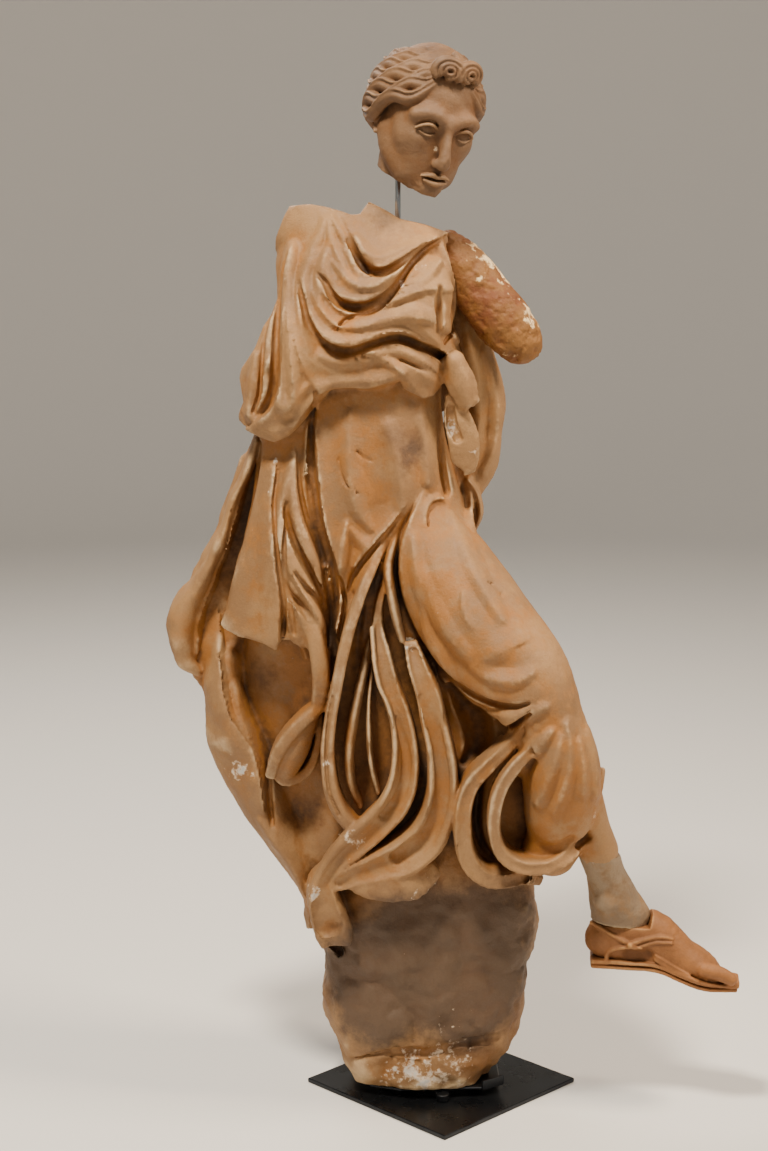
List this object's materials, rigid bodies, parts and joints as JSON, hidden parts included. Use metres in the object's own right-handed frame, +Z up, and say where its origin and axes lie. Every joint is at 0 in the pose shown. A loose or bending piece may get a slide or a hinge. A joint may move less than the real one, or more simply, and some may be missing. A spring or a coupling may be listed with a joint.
{
  "type": "classical marble statue",
  "caption": "Broken life-size marble statue of a striding draped woman with a separate head on a rod, standing in a steel cradle on a square plate turned corner-on.",
  "frame": {"origin": "middle of the base plate's underside", "axes": "+Z up, the statue's front looks along -Y, +X to the right when seen from the front"},
  "size_m": [0.9324, 0.4526, 1.7084],
  "materials": {
    "body_marble": "weathered marble with ochre patina",
    "arm_marble": "rust-brown patinated marble",
    "ankle_marble": "grey weathered marble",
    "foot_marble": "orange-brown patinated marble",
    "head_marble": "tan weathered marble",
    "dark_steel": "blackened and waxed",
    "bright_steel": "polished rod"
  },
  "bodies": {
    "root": {"base_plate": "dark_steel", "support_post_1": "dark_steel", "support_post_2": "dark_steel", "support_post_3": "dark_steel", "cradle_tray": "dark_steel", "head_rod": "bright_steel", "statue_body": "body_marble", "left_arm": "arm_marble", "left_ankle": "ankle_marble", "left_foot": "foot_marble", "head": "head_marble"}
  },
  "joints": []
}
